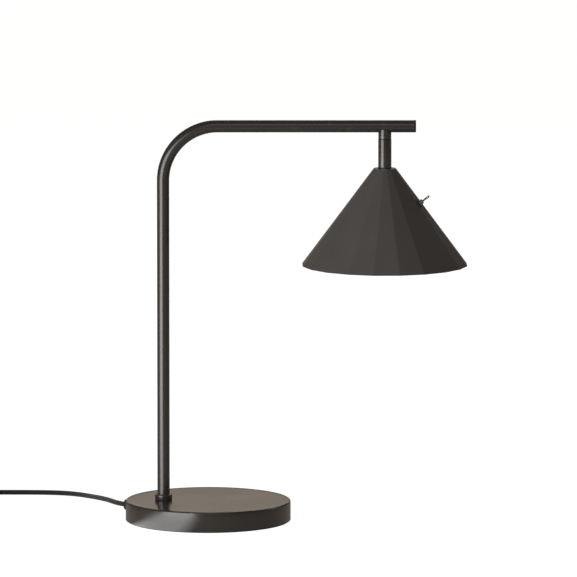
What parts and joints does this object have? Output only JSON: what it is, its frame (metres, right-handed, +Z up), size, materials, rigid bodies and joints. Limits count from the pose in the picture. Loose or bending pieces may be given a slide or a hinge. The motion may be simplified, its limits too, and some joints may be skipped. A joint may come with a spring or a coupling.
{
  "type": "desk lamp",
  "caption": "Desk lamp with a round weighted base, a bent tube arm and a hanging faceted cone shade with its own toggle switch and a textile cord.",
  "frame": {"origin": "centre of the base's underside, on the surface it stands on", "axes": "+Z up, +X from the pole along the arm towards the shade, +Y completes the right-handed frame"},
  "size_m": [0.6768, 0.3004, 0.4888],
  "materials": {
    "satin_paint": "satin dark bronze-grey powder coat",
    "shade_paint": "matt dark bronze-grey powder coat",
    "cast_weight": "as cast, sand texture",
    "zinc_steel": "zinc plated",
    "foot_rubber": "matt EVA foam rubber",
    "nylon_washer": "black nylon",
    "holder_plastic": "black thermoset",
    "plated_brass": "nickel-plated brass",
    "opal_glass": "opal white",
    "switch_nickel": "satin nickel",
    "switch_black": "black",
    "terminal_metal": "tinned brass",
    "gland_black": "moulded black",
    "block_plastic": "natural nylon",
    "lead_sheath": "PVC insulation",
    "textile_braid": "black woven braid over round flex",
    "tie_fabric": "black hook and loop tape",
    "plug_black": "moulded black",
    "pin_nickel": "nickel-plated"
  },
  "bodies": {
    "lamp_stand": {"base_cover": "satin_paint", "lamp_tube": "satin_paint", "foot_collar": "satin_paint", "arm_boss": "satin_paint", "base_weight": "cast_weight", "bottom_plate": "zinc_steel", "bottom_plate_screws": "zinc_steel", "pole_insert": "zinc_steel", "pole_rod": "zinc_steel", "pole_washer": "zinc_steel", "pole_nut": "zinc_steel", "swivel_bolt": "zinc_steel", "wave_washer": "zinc_steel", "swivel_nut": "zinc_steel", "cord_clamp_screws": "zinc_steel", "block_screw": "zinc_steel", "foot_pad": "foot_rubber", "friction_washer": "nylon_washer", "terminal_screws": "terminal_metal", "cord_gland": "gland_black", "arm_end_cap": "gland_black", "terminal_block": "block_plastic", "cord_clamp": "block_plastic", "inner_lead": "lead_sheath", "supply_cores": "lead_sheath", "mains_cord": "textile_braid", "cord_plug_end": "textile_braid", "cord_coil": "textile_braid", "cord_inner_end": "textile_braid", "cord_tie": "tie_fabric", "plug_body": "plug_black", "plug_relief": "plug_black", "plug_pins": "pin_nickel"},
    "shade_head": {"stem_tube": "satin_paint", "stem_bush": "zinc_steel", "stem_foot": "zinc_steel", "holder_rod": "zinc_steel", "shade_washer": "zinc_steel", "shade_nut": "zinc_steel", "shade": "shade_paint", "holder_cap": "holder_plastic", "holder_skirt": "holder_plastic", "holder_insert": "holder_plastic", "screw_shell": "plated_brass", "bulb_cap": "plated_brass", "bulb_glass": "opal_glass", "switch_body": "switch_black", "switch_bushing": "switch_nickel", "switch_lock_ring": "switch_black", "switch_nut": "switch_nickel", "switch_terminals": "terminal_metal", "stem_lead": "lead_sheath", "switch_leads": "lead_sheath"},
    "toggle_lever": {"switch_lever": "switch_nickel"}
  },
  "joints": [
    {"name": "shade_swivel", "type": "hinge", "parent": "lamp_stand", "child": "shade_head", "pos_m": [0.2136, 0, 0.4659], "axis": [0, 0, 1], "range_deg": [-170, 170]},
    {"name": "switch_toggle", "type": "hinge", "parent": "shade_head", "child": "toggle_lever", "pos_m": [0.25711, -0.0133, 0.39068], "axis": [-0.5661, 0.1731, 0.8059], "range_deg": [0, 25]}
  ]
}
